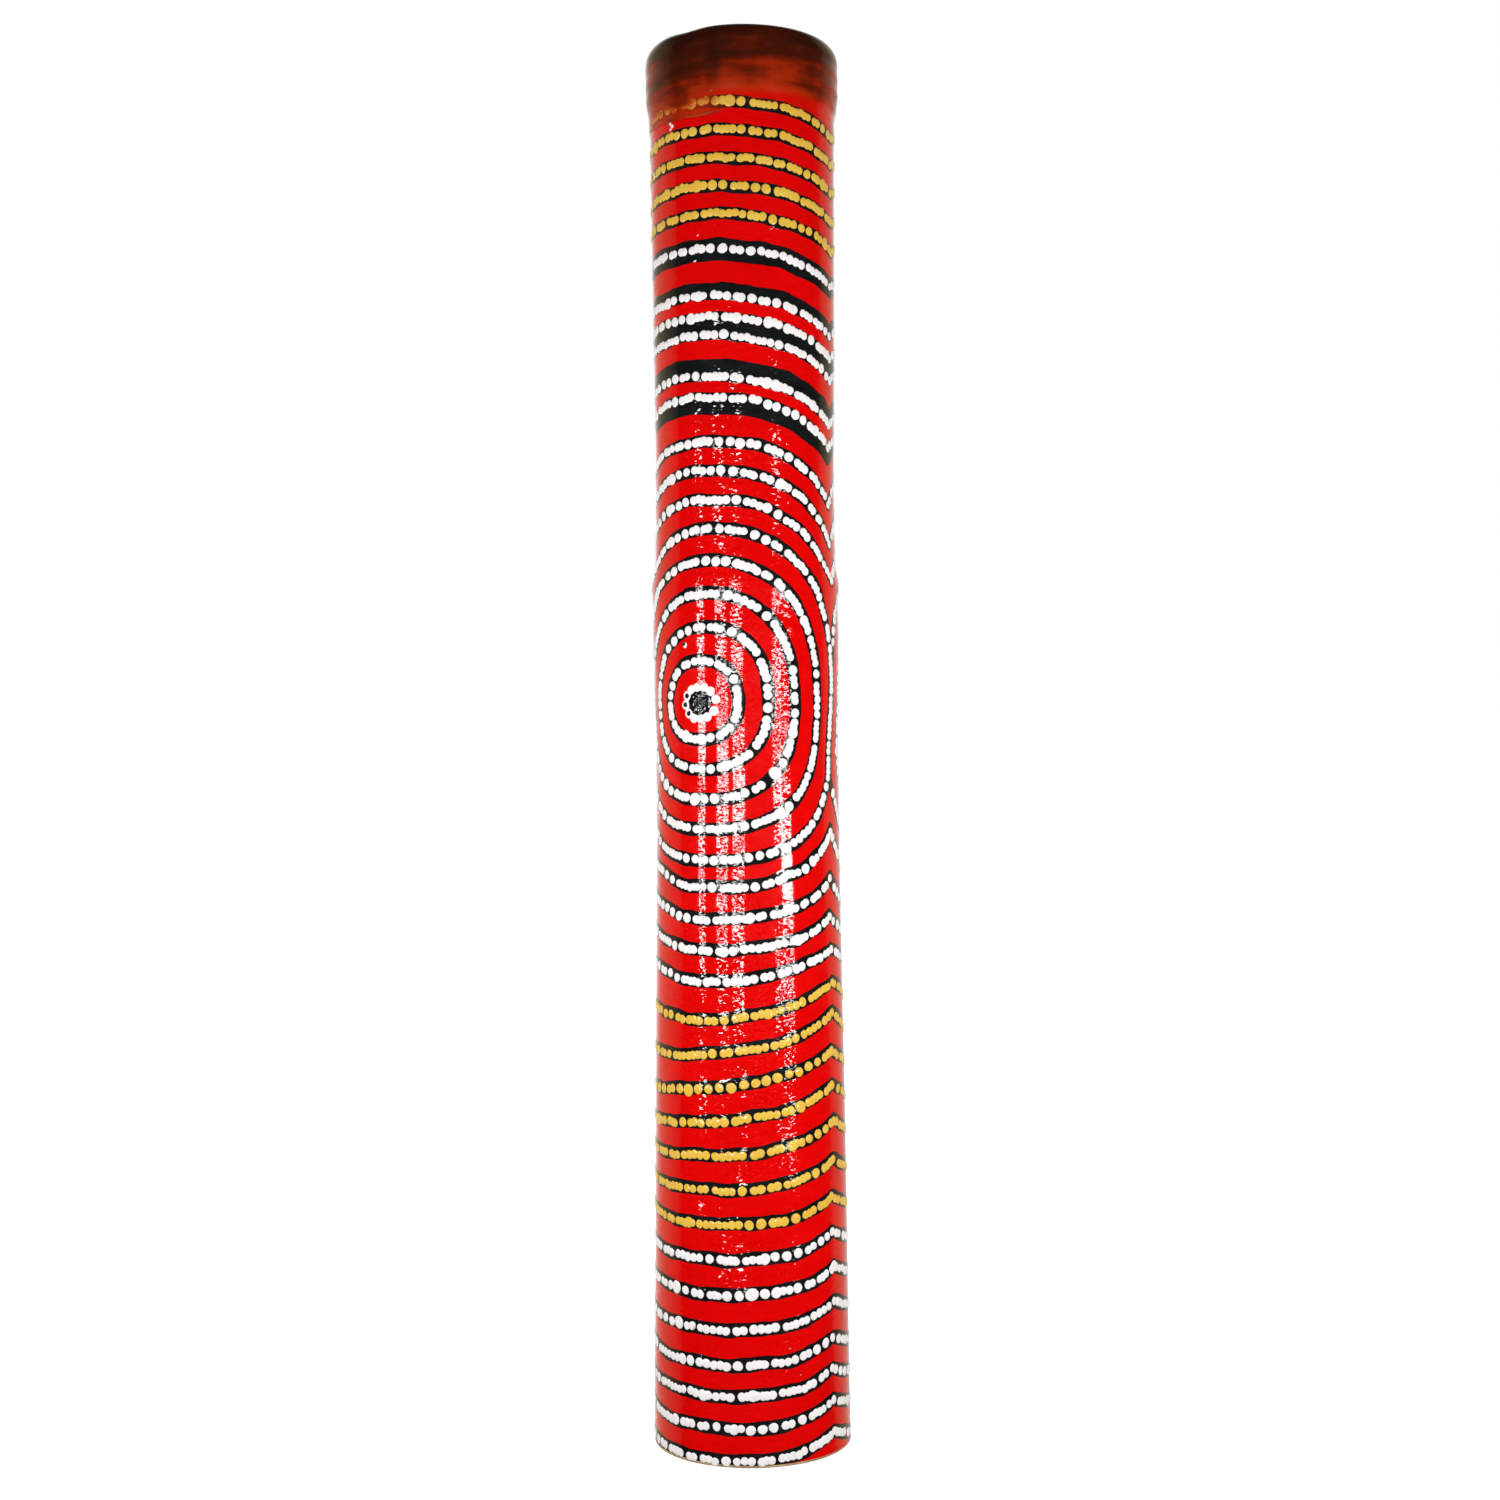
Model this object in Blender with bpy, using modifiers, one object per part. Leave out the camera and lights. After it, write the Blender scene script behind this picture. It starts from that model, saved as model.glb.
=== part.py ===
"""A rainstick: a painted bamboo tube with a spiral of pegs across its bore and loose grains inside.

Run it with blender --background --python part.py, or from Blender's text editor.
Units are metres and +Z runs up the tube. The origin is the centre of the bottom end, and -Y is the front.
"""

import math

import bmesh
import bpy
from mathutils import Matrix, Vector

# The whole stick
LENGTH = 0.400
GAP = 0.0003
ROUND_STEPS = 48
ARC_STEPS = 5

# Bamboo tube: the culm's outer radius at a few heights, and the swelling at its joint
CULM = ((0.000, 0.02825), (0.045, 0.02785), (0.115, 0.02705), (0.184, 0.02620),
        (0.230, 0.02585), (0.271, 0.02560), (0.323, 0.02605), (0.400, 0.02660))
TUBE_STATIONS = 24
JOINT_Z = 0.2445
JOINT_RIDGE = 0.00065
JOINT_RIDGE_WIDTH = 0.0042
JOINT_SWELL = 0.0008
JOINT_SWELL_WIDTH = 0.022
JOINT_SWELL_DROP = 0.0145
BORE_BOTTOM = 0.0235
BORE_TOP = 0.0220
DIAPHRAGM_RADIUS = 0.0204
DIAPHRAGM_HALF_HEIGHT = 0.005
RIM_ROUND = 0.0045
FOOT_CHAMFER = 0.0004

# Skin shrunk over the top end
SKIN_THICKNESS = 0.0008
SKIN_EDGE_Z = 0.377
SKIN_RADIUS = 0.0277

# Plugs in both ends
PLUG_THICKNESS = 0.008
PLUG_RECESS = 0.001
PLUG_CHAMFER = 0.0006

# Pegs, in a spiral up the tube
PEG_COUNT = 32
PEG_RADIUS = 0.001
PEG_TIP_RADIUS = 0.0004
PEG_TAPER = 0.007
PEG_PAST_AXIS = 0.008
PEG_SUNK = 0.0006
PEG_SIDES = 10
PEG_FIRST_Z = 0.026
PEG_PITCH = 0.011
PEG_TURN = math.radians(30)
PEG_FIRST_ANGLE = math.radians(-75)

# Grains, resting in lanes that lie midway between the pegs' directions
LANE_COUNT = 12
LANE_RADIUS = 0.0165
GRAINS_IN_LANE = 2
GRAIN_HALF_SIZES = ((0.0025, 0.0022, 0.0020), (0.0024, 0.0020, 0.0020), (0.0023, 0.0023, 0.0020))

TUBE_TOP = LENGTH - SKIN_THICKNESS - GAP
BOTTOM_PLUG_TOP = PLUG_RECESS + PLUG_THICKNESS
TOP_PLUG_TOP = TUBE_TOP - GAP


def culm_radius(z):
    """The culm without its joint: a smooth curve through the heights in CULM."""
    last = len(CULM) - 1
    i = min(max(sum(z >= height for height, _ in CULM) - 1, 0), last - 1)
    z0, r0 = CULM[i]
    z1, r1 = CULM[i + 1]
    before = CULM[max(i - 1, 0)]
    after = CULM[min(i + 2, last)]
    slope0 = (r1 - before[1]) / (z1 - before[0])
    slope1 = (after[1] - r0) / (after[0] - z0)
    span = z1 - z0
    t = (z - z0) / span
    return (
        r0 * (1 + 2 * t) * (1 - t) ** 2
        + slope0 * span * t * (1 - t) ** 2
        + r1 * t * t * (3 - 2 * t)
        - slope1 * span * t * t * (1 - t)
    )


def outer_radius(z):
    """The culm with the ridge and the broad swelling below it that mark a bamboo joint."""
    ridge = JOINT_RIDGE * math.exp(-(((z - JOINT_Z) / JOINT_RIDGE_WIDTH) ** 2))
    swell = JOINT_SWELL * math.exp(-(((z - JOINT_Z + JOINT_SWELL_DROP) / JOINT_SWELL_WIDTH) ** 2))
    return culm_radius(z) + ridge + swell


def bore_radius(z):
    return BORE_BOTTOM + (BORE_TOP - BORE_BOTTOM) * z / LENGTH


def arc(centre_r, centre_z, radius, start, end):
    """Points (r, z) along a round corner, angles in degrees from +r towards +z."""
    angles = [math.radians(start + (end - start) * i / ARC_STEPS) for i in range(ARC_STEPS + 1)]
    return [(centre_r + radius * math.cos(a), centre_z + radius * math.sin(a)) for a in angles]


def collection_named(name, parent):
    made = bpy.data.collections.new(name)
    parent.children.link(made)
    return made


def material(name, colour, roughness, metallic=0.0):
    made = bpy.data.materials.new(name)
    made.use_nodes = True
    shader = made.node_tree.nodes["Principled BSDF"]
    shader.inputs["Base Color"].default_value = (*colour, 1.0)
    shader.inputs["Roughness"].default_value = roughness
    shader.inputs["Metallic"].default_value = metallic
    return made


def placed(name, mesh, collection, surface=None, parent=None):
    made = bpy.data.objects.new(name, mesh)
    collection.objects.link(made)
    made.parent = parent
    if surface:
        mesh.materials.append(surface)
    return made


def turned_mesh(name, profile, steps, closed):
    """The mesh that a Screw modifier turns from a profile of (r, z) points."""
    mesh = bpy.data.meshes.new(name)
    edges = [(i, i + 1) for i in range(len(profile) - 1)]
    if closed:
        edges.append((len(profile) - 1, 0))
    mesh.from_pydata([(r, 0, z) for r, z in profile], edges, [])
    guide = bpy.data.objects.new(name + "_profile", mesh)
    bpy.context.scene.collection.objects.link(guide)
    screw = guide.modifiers.new("turn", "SCREW")
    screw.steps = steps
    screw.render_steps = steps
    screw.use_merge_vertices = True
    screw.merge_threshold = 0.00001
    graph = bpy.context.evaluated_depsgraph_get()
    turned = bpy.data.meshes.new_from_object(guide.evaluated_get(graph))
    bpy.data.objects.remove(guide)
    turned.name = name
    turned.shade_smooth()
    turned.set_sharp_from_angle(angle=math.radians(35))
    return turned


def tube_profile():
    """Round rim at the top, down the outside, across the foot, and up the bore past the cut-out diaphragm."""
    rim_z = TUBE_TOP - RIM_ROUND
    rim = arc(outer_radius(rim_z) - RIM_ROUND, rim_z, RIM_ROUND, 90, 0)
    heights = [rim_z * (1 - i / TUBE_STATIONS) for i in range(1, TUBE_STATIONS)]
    around_joint = [JOINT_Z + JOINT_RIDGE_WIDTH * k for k in (1.6, 0.9, 0, -0.9, -1.6)]
    clear = [z for z in heights if abs(z - JOINT_Z) > 2.2 * JOINT_RIDGE_WIDTH]
    side = [(outer_radius(z), z) for z in sorted(clear + around_joint, reverse=True)]
    foot = [
        (outer_radius(FOOT_CHAMFER), FOOT_CHAMFER),
        (outer_radius(0) - FOOT_CHAMFER, 0),
        (bore_radius(0) + FOOT_CHAMFER, 0),
        (bore_radius(FOOT_CHAMFER), FOOT_CHAMFER),
    ]
    below = JOINT_Z - DIAPHRAGM_HALF_HEIGHT
    above = JOINT_Z + DIAPHRAGM_HALF_HEIGHT
    bore = [
        (bore_radius(below), below),
        (DIAPHRAGM_RADIUS, JOINT_Z - DIAPHRAGM_HALF_HEIGHT / 2),
        (DIAPHRAGM_RADIUS, JOINT_Z + DIAPHRAGM_HALF_HEIGHT / 2),
        (bore_radius(above), above),
        (bore_radius(TUBE_TOP), TUBE_TOP),
    ]
    return rim + side + foot + bore


def peg_places():
    """For each peg its height and its direction round the tube."""
    return [
        (PEG_FIRST_Z + PEG_PITCH * i, PEG_FIRST_ANGLE + PEG_TURN * i)
        for i in range(PEG_COUNT)
    ]


def inward_matrix(z, angle, radius):
    """Stands at this radius, with local +Z pointing at the tube's axis."""
    spot = Vector((radius * math.cos(angle), radius * math.sin(angle), z))
    return Matrix.Translation(spot) @ Matrix.Rotation(angle, 4, "Z") @ Matrix.Rotation(-math.pi / 2, 4, "Y")


def drill_cutter(collection):
    """One mesh of all the peg holes, each running from outside the tube into its bore."""
    reach = 0.009
    outside = 0.001
    shape = bmesh.new()
    for z, angle in peg_places():
        place = inward_matrix(z, angle, outer_radius(z) + outside - reach / 2)
        bmesh.ops.create_cone(
            shape,
            cap_ends=True,
            segments=PEG_SIDES,
            radius1=PEG_RADIUS + GAP,
            radius2=PEG_RADIUS + GAP,
            depth=reach,
            matrix=place,
        )
    mesh = bpy.data.meshes.new("peg_holes")
    shape.to_mesh(mesh)
    shape.free()
    cutter = placed("peg_holes", mesh, collection)
    cutter.hide_render = True
    cutter.display_type = "WIRE"
    return cutter


def make_tube(parts, cutters):
    paint = material("red_gloss_paint", (0.68, 0.008, 0.006), 0.22)
    tube = placed("bamboo_tube", turned_mesh("bamboo_tube", tube_profile(), ROUND_STEPS, True), parts, paint)
    cut = tube.modifiers.new("peg_holes", "BOOLEAN")
    cut.operation = "DIFFERENCE"
    cut.solver = "EXACT"
    cut.object = drill_cutter(cutters)


def make_skin(parts):
    """The skin follows the tube's round rim, a hair's breadth off it, and ends in a straight hem."""
    hide = material("varnished_hide", (0.10, 0.022, 0.010), 0.3)
    outer_round = RIM_ROUND + GAP + SKIN_THICKNESS
    inner_round = RIM_ROUND + GAP
    outside = arc(SKIN_RADIUS - outer_round, LENGTH - outer_round, outer_round, 90, 0)
    inside_r = SKIN_RADIUS - SKIN_THICKNESS
    inside = arc(inside_r - inner_round, LENGTH - SKIN_THICKNESS - inner_round, inner_round, 0, 90)
    hem = [(SKIN_RADIUS, SKIN_EDGE_Z), (inside_r, SKIN_EDGE_Z)]
    profile = [(0, LENGTH)] + outside + hem + inside + [(0, LENGTH - SKIN_THICKNESS)]
    placed("end_skin", turned_mesh("end_skin", profile, ROUND_STEPS, False), parts, hide)


def make_plug(parts, name, top_z, wood):
    radius = bore_radius(top_z) - GAP
    profile = [
        (0, 0),
        (radius - PLUG_CHAMFER, 0),
        (radius, -PLUG_CHAMFER),
        (radius, PLUG_CHAMFER - PLUG_THICKNESS),
        (radius - PLUG_CHAMFER, -PLUG_THICKNESS),
        (0, -PLUG_THICKNESS),
    ]
    plug = placed(name, turned_mesh(name, profile, ROUND_STEPS, False), parts, wood)
    plug.location.z = top_z


def make_pegs(parts):
    """Bamboo pins, each pushed in from outside, cut off under the paint and pointed at its inner end."""
    cane = material("bamboo_cane", (0.62, 0.43, 0.20), 0.55)
    for number, (z, angle) in enumerate(peg_places(), start=1):
        outer = outer_radius(z) - PEG_SUNK
        length = outer + PEG_PAST_AXIS
        profile = [
            (0, length),
            (PEG_TIP_RADIUS, length),
            (PEG_RADIUS, length - PEG_TAPER),
            (PEG_RADIUS, 0),
            (0, 0),
        ]
        name = f"peg_{number:02d}"
        peg = placed(name, turned_mesh(name, profile, PEG_SIDES, False), parts, cane)
        peg.matrix_world = inward_matrix(z, angle, outer)


def grain_mesh(name, half_size):
    shape = bmesh.new()
    bmesh.ops.create_icosphere(shape, subdivisions=2, radius=1.0)
    bmesh.ops.scale(shape, vec=half_size, verts=shape.verts)
    mesh = bpy.data.meshes.new(name)
    shape.to_mesh(mesh)
    shape.free()
    mesh.shade_smooth()
    return mesh


def make_grains(parts):
    """Small pebbles, two to a lane. Each lane's empty stands on the line that its grains slide along."""
    stone = material("river_pebble", (0.30, 0.24, 0.18), 0.6)
    meshes = [grain_mesh(f"grain_shape_{i}", size) for i, size in enumerate(GRAIN_HALF_SIZES)]
    for mesh in meshes:
        mesh.materials.append(stone)
    half_height = GRAIN_HALF_SIZES[0][2]
    for lane in range(LANE_COUNT):
        angle = 2 * math.pi * lane / LANE_COUNT
        guide = bpy.data.objects.new(f"lane_{lane + 1:02d}", None)
        parts.objects.link(guide)
        guide.location = (LANE_RADIUS * math.cos(angle), LANE_RADIUS * math.sin(angle), BOTTOM_PLUG_TOP)
        for layer in range(GRAINS_IN_LANE):
            number = lane * GRAINS_IN_LANE + layer + 1
            grain = placed(f"grain_{number:02d}", meshes[number % len(meshes)], parts, parent=guide)
            grain.location.z = GAP + half_height + layer * (2 * half_height + GAP)
            grain.rotation_euler.z = angle + math.radians(40) * number


def main():
    for old in list(bpy.data.objects):
        bpy.data.objects.remove(old)
    parts = collection_named("rainstick", bpy.context.scene.collection)
    cutters = collection_named("cutters", bpy.context.scene.collection)
    wood = material("plug_wood", (0.45, 0.29, 0.15), 0.6)
    make_tube(parts, cutters)
    make_skin(parts)
    make_plug(parts, "bottom_plug", BOTTOM_PLUG_TOP, wood)
    make_plug(parts, "top_plug", TOP_PLUG_TOP, wood)
    make_pegs(parts)
    make_grains(parts)


main()
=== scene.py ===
import math
import random
from bisect import bisect_right
from collections import namedtuple

import bpy
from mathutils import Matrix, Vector


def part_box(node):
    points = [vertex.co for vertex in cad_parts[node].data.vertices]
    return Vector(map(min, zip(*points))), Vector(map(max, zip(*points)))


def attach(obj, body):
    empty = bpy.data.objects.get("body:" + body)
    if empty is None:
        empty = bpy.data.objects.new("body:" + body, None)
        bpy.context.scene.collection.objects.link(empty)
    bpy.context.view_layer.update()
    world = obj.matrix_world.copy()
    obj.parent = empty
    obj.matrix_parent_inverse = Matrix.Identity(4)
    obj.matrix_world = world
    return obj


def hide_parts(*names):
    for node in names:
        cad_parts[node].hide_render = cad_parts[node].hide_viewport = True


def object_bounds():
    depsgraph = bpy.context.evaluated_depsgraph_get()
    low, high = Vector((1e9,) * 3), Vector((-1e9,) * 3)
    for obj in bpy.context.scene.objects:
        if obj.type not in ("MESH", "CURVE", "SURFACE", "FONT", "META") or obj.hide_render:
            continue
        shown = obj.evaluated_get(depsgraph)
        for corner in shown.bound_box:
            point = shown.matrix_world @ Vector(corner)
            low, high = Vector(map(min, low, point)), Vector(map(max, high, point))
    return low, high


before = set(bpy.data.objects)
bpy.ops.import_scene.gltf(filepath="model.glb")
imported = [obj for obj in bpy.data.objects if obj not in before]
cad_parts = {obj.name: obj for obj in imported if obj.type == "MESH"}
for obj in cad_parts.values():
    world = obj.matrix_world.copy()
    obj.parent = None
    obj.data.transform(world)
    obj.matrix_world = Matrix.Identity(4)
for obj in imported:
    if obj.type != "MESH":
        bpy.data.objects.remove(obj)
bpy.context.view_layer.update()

MM = 0.001
SEED = 7

# -------- the tube's surface, from the frame

STICK_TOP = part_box("end_skin")[1][2]

# A vertex of the CAD tube is on its outside if it lies beyond the middle of the wall and is nearly the
# widest at its height. A ring has at least this many of them.
WALL_MIDDLE = 0.0248
NEARLY_WIDEST = 0.9
RING_VERTICES = 40

# Where the straight side ends: over the broken edge of the foot, and this far under the stick's top
FOOT_EDGE = 0.0003
RIM_ZONE = 0.0055

# The culm isn't a perfect round. Each wave: size in metres, how many go round, rate along it and phase.
UNEVENNESS = ((0.00010, 2, 9, 0), (0.00006, 3, -31, 1), (0.00005, 5, 57, 2))


def tube_rings():
    """(z, radius) of the CAD tube's outer rings, from the foot to the rim."""
    rings = {}
    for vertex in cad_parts["bamboo_tube"].data.vertices:
        x, y, z = vertex.co
        rings.setdefault(round(z, 5), []).append(math.hypot(x, y))
    outer = []
    for z, radii in sorted(rings.items()):
        wide = [r for r in radii if r > NEARLY_WIDEST * max(radii) and r > WALL_MIDDLE]
        if len(wide) >= RING_VERTICES:
            outer.append((z, max(wide)))
    return outer


RINGS = [ring for ring in tube_rings() if FOOT_EDGE < ring[0] < STICK_TOP - RIM_ZONE]


def tube_radius(z):
    """Smooth radius between the rings: a cubic curve through them, carried on a little at both ends."""
    last = len(RINGS) - 1
    i = 0
    while i < last - 1 and z > RINGS[i + 1][0]:
        i += 1
    z0, r0 = RINGS[i]
    z1, r1 = RINGS[i + 1]
    before = RINGS[max(i - 1, 0)]
    after = RINGS[min(i + 2, last)]
    slope0 = (r1 - before[1]) / (z1 - before[0])
    slope1 = (after[1] - r0) / (after[0] - z0)
    span = z1 - z0
    t = min(max((z - z0) / span, -0.5), 1.0)
    return (
        r0 * (1 + 2 * t) * (1 - t) ** 2
        + slope0 * span * t * (1 - t) ** 2
        + r1 * t * t * (3 - 2 * t)
        - slope1 * span * t * t * (1 - t)
    )


def unevenness(angle, z):
    """How far the culm stands proud of its mean radius here."""
    return sum(size * math.sin(waves * angle + rate * z + phase) for size, waves, rate, phase in UNEVENNESS)


def turned_point(angle, r, z):
    """The point at this angle from the front (towards +X), this far from the stick's axis and this high."""
    return (r * math.sin(angle), -r * math.cos(angle), z)


def on_tube(angle, z, lift=0.0):
    """The point of the tube's surface at this angle and height, lifted off it."""
    return turned_point(angle, tube_radius(z) + unevenness(angle, z) + lift, z)


# -------- small helpers


def new_object(name, data):
    """A new object in the scene."""
    made = bpy.data.objects.new(name, data)
    bpy.context.scene.collection.objects.link(made)
    return made


def piece(name, points, faces, material, body="stick"):
    """A smooth mesh object that rides on a body and takes the given material."""
    mesh = bpy.data.meshes.new(name)
    mesh.from_pydata(points, [], faces)
    mesh.materials.append(material)
    mesh.shade_smooth()
    made = new_object(name, mesh)
    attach(made, body)
    return made


def ring_quads(first, sides, rings, closed=False):
    """Faces between neighbouring rings of points, which are numbered on from the first ring's first."""
    quads = []
    for i in range(rings if closed else rings - 1):
        low = first + i * sides
        high = first + (i + 1) % rings * sides
        for j in range(sides):
            k = (j + 1) % sides
            quads.append((low + j, low + k, high + k, high + j))
    return quads


def end_caps(first, sides, rings):
    """The faces that close a row of rings: one on the first ring and one, facing away, on the last."""
    start = tuple(first + j for j in range(sides))
    end = tuple(first + (rings - 1) * sides + j for j in reversed(range(sides)))
    return [start, end]


def smooth_step(value, low, high):
    t = min(max((value - low) / (high - low), 0), 1)
    return t * t * (3 - 2 * t)


def bell(value, size, middle, width):
    return size * math.exp(-(((value - middle) / width) ** 2))


def between(ends, share):
    return ends[0] + (ends[1] - ends[0]) * share


class Waver:
    """Smooth pseudo-random wandering: a few sines with random phases, in whole waves where it must close."""

    def __init__(self, rng, size, wave, terms=4, whole=False):
        self.terms = []
        for k in range(1, terms + 1):
            term_size = size * rng.uniform(0.4, 1.0) / k
            rate = k * math.tau / wave * rng.uniform(0.7, 1.3)
            phase = rng.uniform(0, math.tau)
            self.terms.append((term_size, round(rate) if whole else rate, phase))

    def __call__(self, x):
        return sum(size * math.sin(rate * x + phase) for size, rate, phase in self.terms)


# -------- materials


class Tree:
    """A node tree with short ways to add, set and join nodes."""

    def __init__(self, tree):
        self.tree = tree

    def add(self, kind, **settings):
        node = self.tree.nodes.new(kind)
        for key, value in settings.items():
            setattr(node, key, value)
        return node

    def link(self, source, target):
        self.tree.links.new(source, target)

    def feed(self, socket, value):
        """Gives a socket its value: another node's output, a colour, a vector or a number."""
        if isinstance(value, bpy.types.NodeSocket):
            self.link(value, socket)
        elif socket.type == "RGBA":
            socket.default_value = (*value, 1.0)
        else:
            socket.default_value = value

    def fill(self, node, **inputs):
        """Feeds a node's inputs by their names, with _ for a space."""
        for key, value in inputs.items():
            self.feed(node.inputs[key.replace("_", " ")], value)

    def ramp(self, source, stops):
        """Colours, or shades of grey given as one number, at positions along a value."""
        node = self.add("ShaderNodeValToRGB")
        elements = node.color_ramp.elements
        while len(elements) < len(stops):
            elements.new(0.5)
        for element, (position, colour) in zip(elements, stops):
            element.position = position
            element.color = (*colour, 1.0) if isinstance(colour, tuple) else (*[colour] * 3, 1.0)
        self.link(source, node.inputs["Fac"])
        return node.outputs["Color"]

    def mapped(self, source, old, new, **settings):
        """The value brought from the old range (low, high) to the new one, and held inside it."""
        node = self.add("ShaderNodeMapRange", **settings)
        self.fill(node, Value=source, From_Min=old[0], From_Max=old[1], To_Min=new[0], To_Max=new[1])
        return node.outputs["Result"]

    def mix(self, factor, a, b):
        node = self.add("ShaderNodeMix", data_type="RGBA")
        for socket, value in zip((node.inputs[0], node.inputs[6], node.inputs[7]), (factor, a, b)):
            self.feed(socket, value)
        return node.outputs[2]

    def math(self, operation, a, b=0.0):
        node = self.add("ShaderNodeMath", operation=operation)
        self.feed(node.inputs[0], a)
        self.feed(node.inputs[1], b)
        return node.outputs[0]

    def joined(self, node, *sources):
        """Links the sources to the node's inputs in turn."""
        for source, socket in zip(sources, node.inputs):
            self.link(source, socket)
        return node.outputs

    def vector_math(self, operation, *sources):
        return self.joined(self.add("ShaderNodeVectorMath", operation=operation), *sources)

    def bump(self, height, strength, distance):
        node = self.add("ShaderNodeBump")
        self.fill(node, Height=height, Strength=strength, Distance=distance)
        return node.outputs["Normal"]


class Finish(Tree):
    """A new material with one Principled shader, and the object's own coordinates to build on."""

    def __init__(self, name):
        self.material = bpy.data.materials.new(name)
        self.material.use_nodes = True
        super().__init__(self.material.node_tree)
        self.shader = self.tree.nodes["Principled BSDF"]
        self.coordinates = self.add("ShaderNodeTexCoord").outputs["Object"]

    def placed(self, kind="POINT", **inputs):
        """The object's coordinates, moved or scaled by a Mapping node."""
        node = self.add("ShaderNodeMapping", vector_type=kind)
        self.fill(node, Vector=self.coordinates, **inputs)
        return node.outputs["Vector"]

    def noise(self, scale, stretch=(1, 1, 1), detail=3.0, roughness=0.5, distortion=0.0):
        """Noise with this many features to a metre, times the stretch along each axis."""
        node = self.add("ShaderNodeTexNoise")
        place = self.placed(Scale=stretch)
        self.fill(node, Vector=place, Scale=scale, Detail=detail, Roughness=roughness, Distortion=distortion)
        return node.outputs["Fac"]

    def set(self, **inputs):
        self.fill(self.shader, **inputs)


# The varnish's ridges: how much flatter than wide they are, how many to a metre, how much their edges
# wander, and how far they lean the surface
RIDGE_STRETCH = (1, 1, 2.2)
RIDGES_PER_METRE = 860
RIDGE_WANDER = 0.8
RIDGE_LEAN = 0.52

# Where the varnish lies smoothest, the size of that patch, between which shares of its size it fades, and
# the share of the lean left in its middle
SMOOTH_PATCH = (0.0104, -0.0246, 0.168)
PATCH_SIZE = (0.0065, 0.0065, 0.019)
PATCH_EDGE = (0.75, 1.35)
PATCH_LEAN = 0.16


def varnish_normal(finish):
    """Thick varnish over paint brushed round the stick: short level ridges like fish scales.

    The ridges lean the surface up and down but hardly sideways, so upright reflections break into dashes
    and keep their edges.
    """
    ridges = finish.noise(RIDGES_PER_METRE, RIDGE_STRETCH, detail=0.0, distortion=RIDGE_WANDER)
    waves = finish.noise(90, stretch=(1, 1, 0.8), detail=1.0)
    broad = finish.mapped(waves, (0.35, 0.65), (0.6, 1.4))
    patch = finish.placed("TEXTURE", Location=SMOOTH_PATCH, Scale=PATCH_SIZE)
    distance = finish.vector_math("LENGTH", patch)["Value"]
    rough = finish.mapped(distance, PATCH_EDGE, (PATCH_LEAN, 1.0))
    height = finish.math("SUBTRACT", ridges, 0.5)
    tilt = finish.math("MULTIPLY", height, finish.math("MULTIPLY", broad, rough))
    lean = finish.add("ShaderNodeCombineXYZ")
    finish.link(finish.math("MULTIPLY", tilt, RIDGE_LEAN), lean.inputs["Z"])
    surface = finish.add("ShaderNodeNewGeometry")
    leaning = finish.vector_math("ADD", surface.outputs["Normal"], lean.outputs["Vector"])
    return finish.vector_math("NORMALIZE", leaning["Vector"])["Vector"]


def paint_material(name, colour, shade, roughness=0.06):
    """Brushed paint under gloss varnish, with a slightly darker, patchy second tone."""
    finish = Finish(name)
    patches = finish.noise(55, stretch=(1, 1, 1.6), detail=4.0, roughness=0.6)
    streaks = finish.noise(160, stretch=(1, 1, 6), detail=2.0)
    tone = finish.mapped(finish.math("MULTIPLY", patches, streaks), (0.12, 0.38), (0.0, 1.0))
    finish.set(
        Base_Color=finish.mix(tone, shade, colour),
        Roughness=finish.mapped(patches, (0.3, 0.7), (roughness * 0.8, roughness * 1.4)),
        Normal=varnish_normal(finish),
        IOR=1.5,
    )
    return finish.material


def bamboo_material():
    """Bare bamboo: straw with long fibres along the stick, under a brown stain in patches."""
    finish = Finish("bare_bamboo")
    fibres = finish.noise(900, stretch=(1, 1, 0.04))
    stain = finish.noise(120)
    straw = finish.ramp(fibres, [
        (0.3, (0.30, 0.17, 0.07)),
        (0.55, (0.55, 0.38, 0.18)),
        (0.8, (0.68, 0.52, 0.28)),
    ])
    colour = finish.mix(finish.mapped(stain, (0.45, 0.75), (0.0, 0.6)), straw, (0.16, 0.09, 0.05))
    finish.set(Base_Color=colour, Roughness=0.6, Normal=finish.bump(fibres, 0.6, 0.0001))
    return finish.material


def plug_material():
    """A disc sawn across softwood: faint growth rings round a pith beside its middle, and grain."""
    finish = Finish("plug_wood")
    rings = finish.add("ShaderNodeTexWave", wave_type="RINGS", rings_direction="Z", wave_profile="SAW")
    place = finish.placed(Location=(0.021, 0.009, 0))
    finish.fill(rings, Vector=place, Scale=210, Distortion=2.5, Detail=3)
    grain = finish.noise(1500, stretch=(1, 1, 0.1), detail=2.0)
    ring_tone = finish.math("MULTIPLY", rings.outputs["Fac"], 0.6)
    tone = finish.math("ADD", ring_tone, finish.math("MULTIPLY", grain, 0.4))
    colour = finish.ramp(tone, [
        (0.15, (0.26, 0.14, 0.06)),
        (0.5, (0.45, 0.28, 0.13)),
        (0.9, (0.60, 0.42, 0.23)),
    ])
    finish.set(Base_Color=colour, Roughness=0.65, Normal=finish.bump(tone, 0.5, 0.00012))
    return finish.material


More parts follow.
